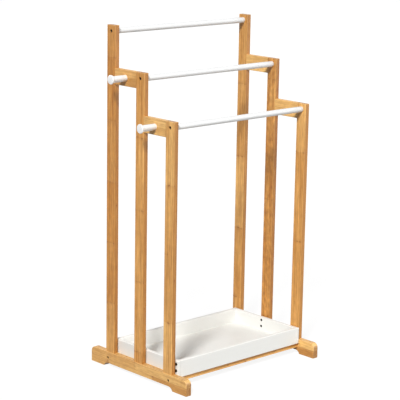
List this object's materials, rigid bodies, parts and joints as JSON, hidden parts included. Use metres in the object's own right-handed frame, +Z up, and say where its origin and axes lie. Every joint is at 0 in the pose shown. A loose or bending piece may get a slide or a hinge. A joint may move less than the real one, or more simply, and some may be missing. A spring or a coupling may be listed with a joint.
{
  "type": "towel rack",
  "caption": "Free-standing stepped towel rack: bamboo side frames, white round bars, side pegs and a low white storage tray.",
  "frame": {"origin": "on the floor, midway between the side frames and midway along the feet", "axes": "+X along the bars towards the right-hand frame seen from the front, +Y from front to back, +Z up"},
  "size_m": [0.532, 0.345, 0.83],
  "materials": {
    "bamboo": "laminated carbonised bamboo, sanded, clear satin lacquer",
    "white_tube": "white powder-coated steel tube, semi-gloss",
    "white_turned_peg": "turned wood, white paint, semi-gloss",
    "white_board": "fibreboard, white paint, satin",
    "black_screw": "black oxide",
    "dark_spacer": "moulded nylon",
    "plain_steel": "plain zinc-plated",
    "dowel_wood": "plain beech"
  },
  "bodies": {
    "root": {"left_foot": "bamboo", "left_rear_post": "bamboo", "left_middle_post": "bamboo", "left_front_post": "bamboo", "left_upper_rail": "bamboo", "left_upper_peg": "white_turned_peg", "left_lower_rail": "bamboo", "left_lower_peg": "white_turned_peg", "right_foot": "bamboo", "right_rear_post": "bamboo", "right_middle_post": "bamboo", "right_front_post": "bamboo", "right_upper_rail": "bamboo", "right_upper_peg": "white_turned_peg", "right_lower_rail": "bamboo", "right_lower_peg": "white_turned_peg", "rear_bar": "white_tube", "middle_bar": "white_tube", "front_bar": "white_tube", "rear_cross_rail": "bamboo", "front_cross_rail": "bamboo", "tray_floor": "white_board", "tray_front": "white_board", "tray_back": "white_board", "tray_left_end": "white_board", "tray_right_end": "white_board", "bar_screws": "black_screw", "cross_rail_screws": "black_screw", "tray_corner_screws": "black_screw", "tray_fixing_screws": "black_screw", "tray_spacers": "dark_spacer", "bar_plugs": "plain_steel", "peg_studs": "plain_steel", "post_dowels": "dowel_wood", "rail_dowels": "dowel_wood"}
  },
  "joints": []
}
